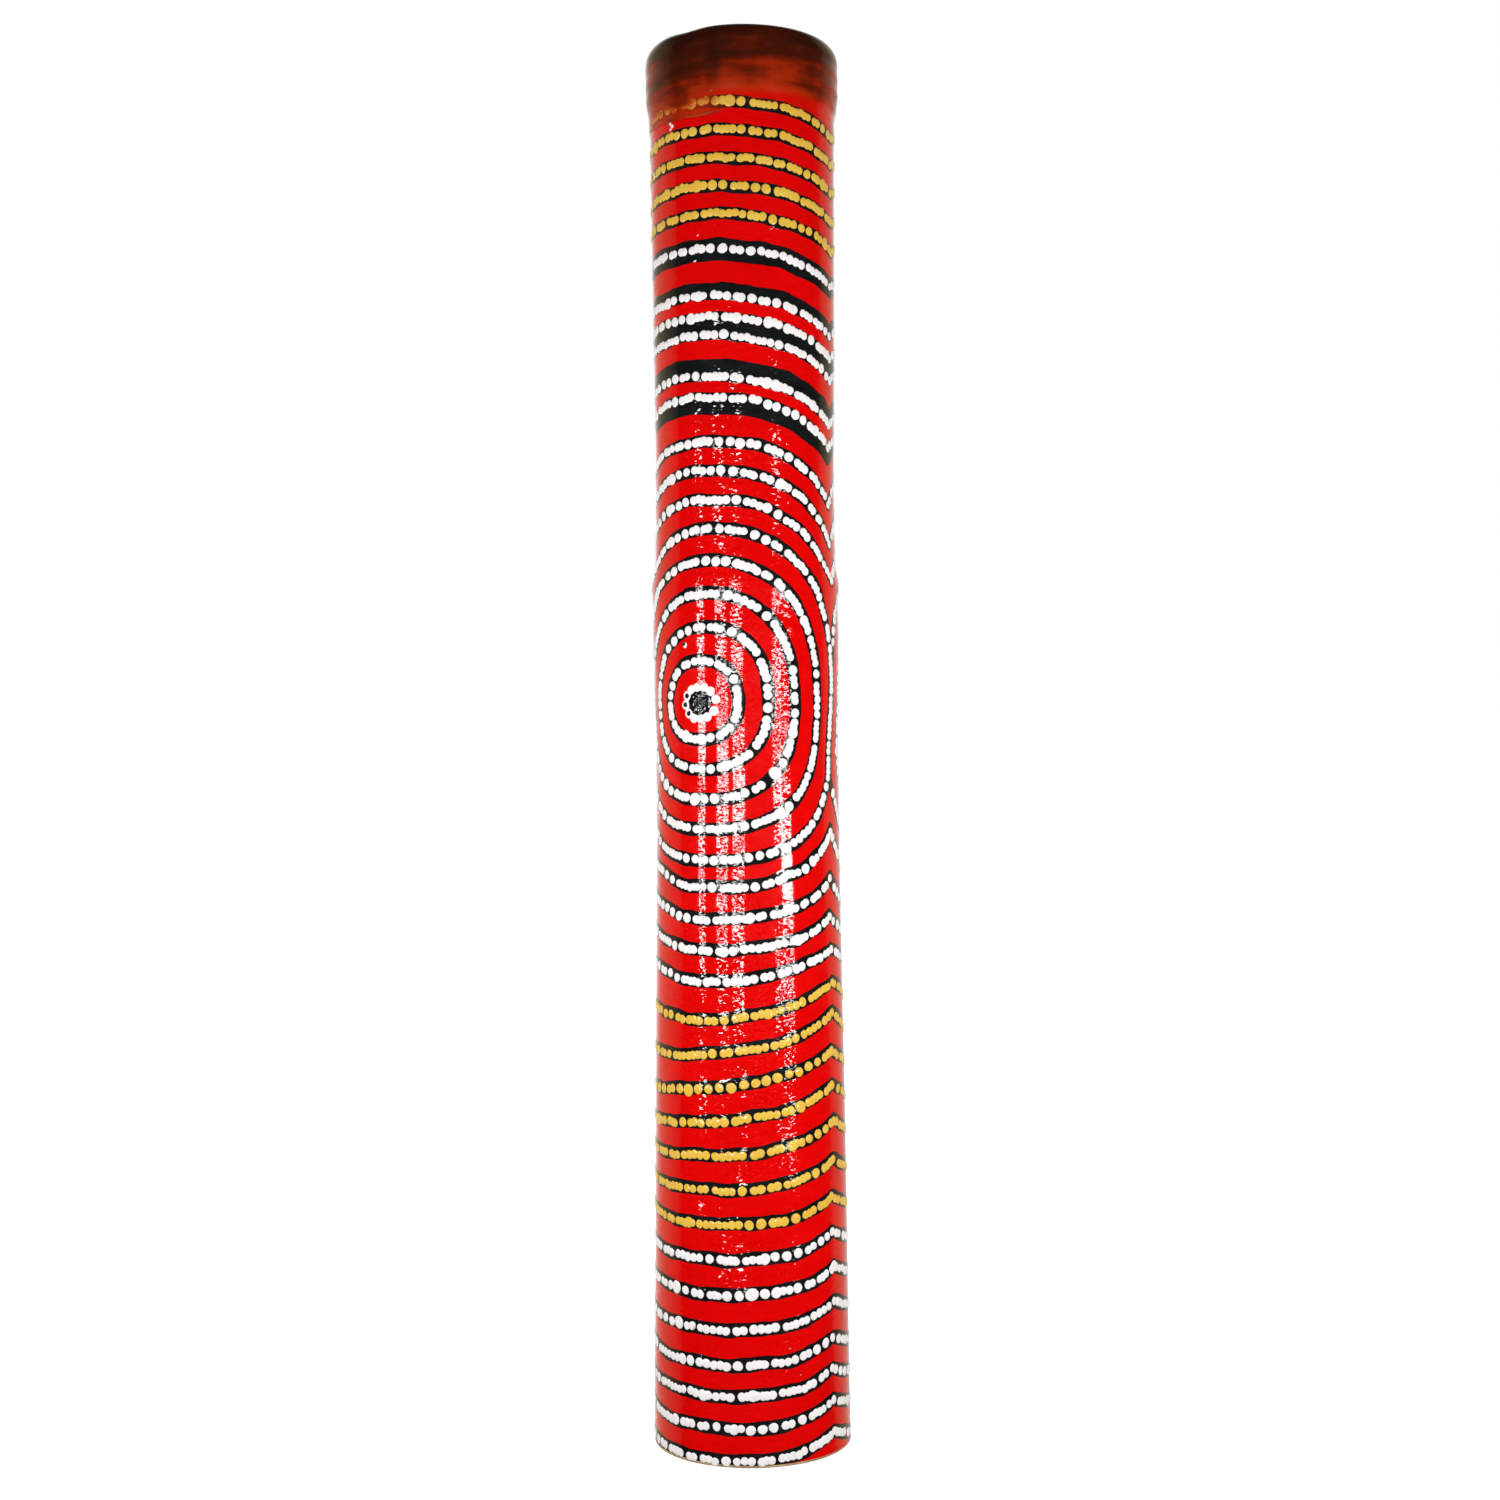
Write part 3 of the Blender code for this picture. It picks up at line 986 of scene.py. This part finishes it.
def make_pattern(black, white, yellow):
    """Each paint's lines or dots. The dots are split at the centre's height into two pieces."""
    rng = random.Random(SEED)
    lines = Coat()
    dots = {"white": (Coat(), Coat()), "yellow": (Coat(), Coat())}
    layer = 0
    for back in (False, True):
        motif = Motif(back)
        layer = paint_arches(BANDS_ABOVE, True, lines, dots, motif, layer, rng)
        layer = paint_arches(BANDS_BELOW, False, lines, dots, motif, layer, rng)
        layer = paint_rings(lines, dots["white"], motif, layer, rng)
        make_centre(lines, dots["white"][0], motif, rng)
    # The stray pierced dot, and three white flecks under the hem that are a painted glint
    for paint, degrees, z, radius in STRAY_DOTS_AND_GLINT:
        coat, rise = (lines, 0.9) if paint == "black" else (dots[paint][0], 0.6)
        coat.dot(math.radians(degrees), z * MM, radius * MM, rise * DOT_HEIGHT, rng)
    lines.made("black_lines", black, "black_paint")
    dots["white"][0].made("white_dots_upper", white, "white_paint")
    dots["white"][1].made("white_dots_lower", white, "white_paint")
    dots["yellow"][0].made("golden_dots_upper", yellow, "yellow_paint")
    dots["yellow"][1].made("golden_dots_lower", yellow, "yellow_paint")


# -------- the skin over the top end

HEM_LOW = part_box("end_skin")[0][2]
SKIN_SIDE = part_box("end_skin")[1][0] - 0.0001
SKIN_SURFACE = STICK_TOP - 0.00005
SKIN_ROUND = 0.0052
SKIN_ANGLES = 180
SKIN_ROWS = 72
SKIN_INNER_ROWS = 24
SKIN_THICKNESS = 0.0006
HEM_THICKNESS = 0.00008
# The rows at the middle of the top end in a small face instead of a point
SKIN_MIDDLE = 0.4
# Under this height the side draws in over this much to cling to the tube, this far off it
CLING_TOP = 0.3862
CLING_DEPTH = 0.0087
CLING_GAP = 0.00032
# At the right of the front the hem follows the topmost row of dots, and eases in and out over these angles.
# Elsewhere it is slack: level behind, and at the left in a curve up from its lowest place.
TOP_ROW = BANDS_ABOVE[-1].first + BANDS_ABOVE[-1].pitch * (BANDS_ABOVE[-1].count - 1)
HEM_ROW_BEGINS = (-0.19, 0.05)
HEM_ROW_ENDS = (1.15, 1.7)
SLACK_LOWEST = 0.3740
SLACK_LOWEST_ANGLE = -0.73
SLACK_RISE = (0.0015, 0.70)
SLACK_ANGLES = (-1.6, 0.2)
SLACK_BEHIND = 0.3752
TOP_RIPPLE = 0.00006
TOP_SAG = 0.00035
WRINKLE = 0.00007
# The hem's ragged waves: size in metres, how many go round and phase
RAGGED = ((0.00022, 7, 1), (0.00016, 17, 0))
# A dent and a crease in the rim: depth in metres, angle and width
DENT = (0.0005, math.radians(-38), 0.22)
CREASE = (0.00016, math.radians(-19), 0.05)


def along_row(angle):
    """How closely the hem follows the topmost row of dots here, from 0 to 1."""
    return smooth_step(angle, *HEM_ROW_BEGINS) * (1 - smooth_step(angle, *HEM_ROW_ENDS))


def hem_height(angle):
    """The hem: slack at the left and behind, and along the topmost row of dots at the right."""
    slack = SLACK_BEHIND
    if angle < SLACK_ANGLES[1]:
        aside = max(angle, SLACK_ANGLES[0]) - SLACK_LOWEST_ANGLE
        slack = SLACK_LOWEST + SLACK_RISE[0] * (aside / SLACK_RISE[1]) ** 2
    row = CENTRE_Z + arch_above(angle, TOP_ROW) * MM - 0.0002
    along = along_row(angle)
    ragged = sum(size * math.sin(waves * angle + phase) for size, waves, phase in RAGGED)
    return slack + (row - slack) * along + ragged * (1 - 0.7 * along)


def skin_point(angle, step):
    """(radius, z) of the outer surface, from the middle of the top (step 0) to the hem (step SKIN_ROWS)."""
    angle = math.remainder(angle, math.tau)
    flat_r = SKIN_SIDE - SKIN_ROUND
    arc_length = SKIN_ROUND * math.pi / 2
    side_top = STICK_TOP - SKIN_ROUND
    total = flat_r + arc_length + (side_top - hem_height(angle))
    s = step / SKIN_ROWS * total
    dent = bell(angle, *DENT)
    crease = bell(angle, *CREASE)
    if s < flat_r:
        ripple = TOP_RIPPLE * math.sin(3 * angle + 40 * s) * (s / flat_r)
        sag = TOP_SAG * (1 - (s / flat_r) ** 2)
        return s, SKIN_SURFACE - sag - dent * (s / flat_r) ** 3 + ripple
    if s < flat_r + arc_length:
        turn = (s - flat_r) / SKIN_ROUND
        r = flat_r + SKIN_ROUND * math.sin(turn) - dent * 0.6 * math.sin(turn)
        return r, side_top + SKIN_ROUND * math.cos(turn) - 0.00005 - dent * math.cos(turn)
    z = side_top - (s - flat_r - arc_length)
    cling = smooth_step(CLING_TOP - z, 0, CLING_DEPTH)
    clinging_r = tube_radius(z) + unevenness(angle, z) + CLING_GAP - 0.00022 * along_row(angle)
    r = SKIN_SIDE + (clinging_r - SKIN_SIDE) * cling
    wrinkle = WRINKLE * math.sin(1300 * (z - 0.381) + 2 * math.sin(angle)) * (1 - 0.6 * cling)
    return r + wrinkle - crease, z


def make_skin(hide):
    """One closed shell: the outer surface down to the hem, and the inner one back up to the middle."""
    points = []
    for step in range(SKIN_ROWS + 1):
        for j in range(SKIN_ANGLES):
            angle = math.tau * j / SKIN_ANGLES
            r, z = skin_point(angle, max(step, SKIN_MIDDLE))
            points.append(turned_point(angle, r, z))
    for step in range(SKIN_INNER_ROWS + 1):
        outer_step = max(SKIN_ROWS - SKIN_ROWS * step / SKIN_INNER_ROWS, SKIN_MIDDLE)
        edge = min(step / 3, 1)
        thickness = SKIN_THICKNESS * edge + HEM_THICKNESS * (1 - edge)
        for j in range(SKIN_ANGLES):
            angle = math.tau * j / SKIN_ANGLES
            r, z = skin_point(angle, outer_step)
            top = min(max((z - (STICK_TOP - SKIN_ROUND)) / SKIN_ROUND, 0), 1)
            points.append(turned_point(angle, r - thickness * (1 - 0.6 * top), z - thickness * top))
    rings = SKIN_ROWS + 1 + SKIN_INNER_ROWS + 1
    faces = [(a, d, c, b) for a, b, c, d in ring_quads(0, SKIN_ANGLES, rings)]
    faces += end_caps(0, SKIN_ANGLES, rings)
    made = piece("shrunk_skin", points, faces, hide)
    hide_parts("end_skin")


# -------- the CAD nodes that stay


def finish_cad_nodes(bare, wood, pebble):
    """Gives the pegs, plugs and grains their own materials."""
    materials = {"peg": bare, "plug": wood, "grain": pebble}
    for name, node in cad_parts.items():
        for word, material in materials.items():
            if word in name.split("_"):
                node.data.materials.clear()
                node.data.materials.append(material)


# -------- the view


CAMERA_PLACE = (0.0008, -0.635, 0.1981)
CAMERA_ROLL = 0.49
CAMERA_LENS = 52.84


def make_camera():
    """Level with the stick's middle and square to its front."""
    data = bpy.data.cameras.new("camera")
    data.lens = CAMERA_LENS
    camera = new_object("camera", data)
    camera.location = CAMERA_PLACE
    camera.rotation_euler = (math.radians(90), math.radians(CAMERA_ROLL), 0)
    bpy.context.scene.camera = camera


# What the varnish mirrors round the horizon: (degrees right of the front, brightness, warmth). White
# surroundings begin beside the stick, with a hard edge, and the room in front is dark.
SURROUNDINGS = (
    (-180, 0.90, 0.0), (-160, 1.00, 0.0), (-146, 0.70, 0.7), (-132, 0.57, 1.0), (-120, 0.50, 1.0),
    (-110, 0.40, 1.0), (-102, 0.30, 1.0), (-93.5, 0.16, 1.0), (-92.5, 0.010, 1.0),
    (96, 0.010, 1.0), (108, 0.05, 1.0), (112.5, 0.12, 1.0), (114, 0.28, 1.0), (124, 0.42, 1.0),
    (134, 0.54, 1.0), (146, 0.68, 0.6), (160, 0.80, 0.1), (180, 0.90, 0.0),
)
WARM = (1.0, 0.84, 0.57)
FILL_STRENGTH = 0.457
BACKDROP_STRENGTH = 1.0


def make_world():
    """A white backdrop for the camera, an even fill for matt paint, and the surroundings for varnish."""
    world = bpy.data.worlds.new("studio")
    bpy.context.scene.world = world
    world.use_nodes = True
    sky = Tree(world.node_tree)
    sky.tree.nodes.clear()
    rays = sky.add("ShaderNodeLightPath")

    def background(colour, strength):
        node = sky.add("ShaderNodeBackground")
        sky.fill(node, Color=colour, Strength=strength)
        return node.outputs["Background"]

    def chosen(ray, otherwise, shader):
        node = sky.add("ShaderNodeMixShader")
        return sky.joined(node, rays.outputs[ray], otherwise, shader)["Shader"]

    direction = sky.add("ShaderNodeSeparateXYZ")
    sky.link(sky.add("ShaderNodeTexCoord").outputs["Generated"], direction.inputs["Vector"])
    forward = sky.math("MULTIPLY", direction.outputs["Y"], -1)
    azimuth = sky.math("ARCTAN2", direction.outputs["X"], forward)
    stops = []
    for degrees, bright, warmth in SURROUNDINGS:
        stops.append(((degrees + 180) / 360, tuple(bright * (1 - warmth + warmth * tint) for tint in WARM)))
    horizon = sky.ramp(sky.mapped(azimuth, (-math.pi, math.pi), (0.0, 1.0)), stops)
    steepness = sky.math("ABSOLUTE", direction.outputs["Z"])
    level = sky.mapped(steepness, (0.45, 0.8), (1.0, 0.04), interpolation_type="SMOOTHSTEP")
    white = (1.0, 1.0, 1.0)
    lighting = chosen("Is Glossy Ray", background(white, FILL_STRENGTH), background(horizon, level))
    shown = chosen("Is Camera Ray", lighting, background(white, BACKDROP_STRENGTH))
    sky.link(shown, sky.add("ShaderNodeOutputWorld").inputs["Surface"])


FLOOR_HALF = 6.0
FLOOR_GAP = 0.0001


def make_floor():
    """A pale floor just under the foot, seen only by the camera."""
    finish = Finish("pale_floor")
    cloud = finish.noise(3, detail=2.0)
    finish.set(
        Base_Color=finish.mix(cloud, (0.93, 0.93, 0.93), (0.96, 0.96, 0.96)),
        Roughness=0.9,
        Emission_Color=(1.0, 1.0, 1.0),
        Emission_Strength=0.72,
        Specular_IOR_Level=0.0,
    )
    mesh = bpy.data.meshes.new("floor")
    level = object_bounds()[0][2] - FLOOR_GAP
    corners = [(x * FLOOR_HALF, y * FLOOR_HALF, level) for x, y in ((-1, -1), (1, -1), (1, 1), (-1, 1))]
    mesh.from_pydata(corners, [], [(0, 1, 2, 3)])
    mesh.materials.append(finish.material)
    floor = new_object("floor", mesh)
    floor.visible_glossy = False
    floor.visible_diffuse = False


# Upright window panels that the varnish mirrors as strips: azimuth, half width in degrees, foot and head
PANELS = (
    ("panel_right_low", 49.0, 7.0, 0.108, 0.166),
    ("panel_right_high", 38.0, 5.6, 0.172, 0.240),
    ("panel_near", -11.6, 7.2, 0.150, 0.238),
    ("panel_mid", -31.7, 7.0, 0.150, 0.238),
    ("panel_far", -58.7, 4.6, 0.150, 0.238),
)
PANEL_DISTANCE = 0.7
PANEL_RADIANCE = 29

# Soft lights close round the stick that leave no highlight: azimuth and share of the power
FILLS = (
    ("fill_front", 18, 0.60),
    ("fill_left", -85, 0.42),
    ("fill_right", 95, 0.12),
    ("fill_back", 195, 0.60),
)
FILL_DISTANCE = 0.36
FILL_POWER = 1.65
FILL_HEIGHT = 0.175
FILL_SIZE = (0.30, 0.16)


def area_light(name, azimuth, distance, height, size, power, glossy):
    """A rectangular light that faces the stick from this many degrees right of the front."""
    data = bpy.data.lights.new(name, "AREA")
    data.shape = "RECTANGLE"
    data.size, data.size_y = size
    data.energy = power
    light = new_object(name, data)
    light.location = turned_point(math.radians(azimuth), distance, height)
    direction = Vector((0, 0, height)) - light.location
    light.rotation_euler = direction.to_track_quat("-Z", "Y").to_euler()
    light.visible_camera = False
    light.visible_glossy = glossy
    light.visible_diffuse = not glossy


def make_lights():
    """Window panels for the varnish to mirror, and a broad soft fill that it doesn't."""
    for name, azimuth, half_width, foot, head in PANELS:
        width = 2 * PANEL_DISTANCE * math.tan(math.radians(half_width))
        height = head - foot
        power = PANEL_RADIANCE * math.pi * width * height
        area_light(name, azimuth, PANEL_DISTANCE, (foot + head) / 2, (width, height), power, True)
    for name, azimuth, share in FILLS:
        area_light(name, azimuth, FILL_DISTANCE, FILL_HEIGHT, FILL_SIZE, share * FILL_POWER, False)


def main():
    red = paint_material("red_paint", (0.78, 0.0012, 0.0010), (0.69, 0.0008, 0.0008))
    black = paint_material("black_paint", (0.012, 0.014, 0.014), (0.006, 0.006, 0.007))
    white = paint_material("white_paint", (0.94, 0.91, 0.90), (0.925, 0.88, 0.865), 0.1)
    yellow = paint_material("golden_paint", (0.84, 0.54, 0.075), (0.79, 0.465, 0.055), 0.1)
    bare = bamboo_material()
    make_tube(red, bare)
    make_pattern(black, white, yellow)
    make_skin(hide_material())
    finish_cad_nodes(bare, plug_material(), pebble_material())
    make_camera()
    make_world()
    make_lights()
    make_floor()
    bpy.context.scene.view_settings.view_transform = "Standard"


main()
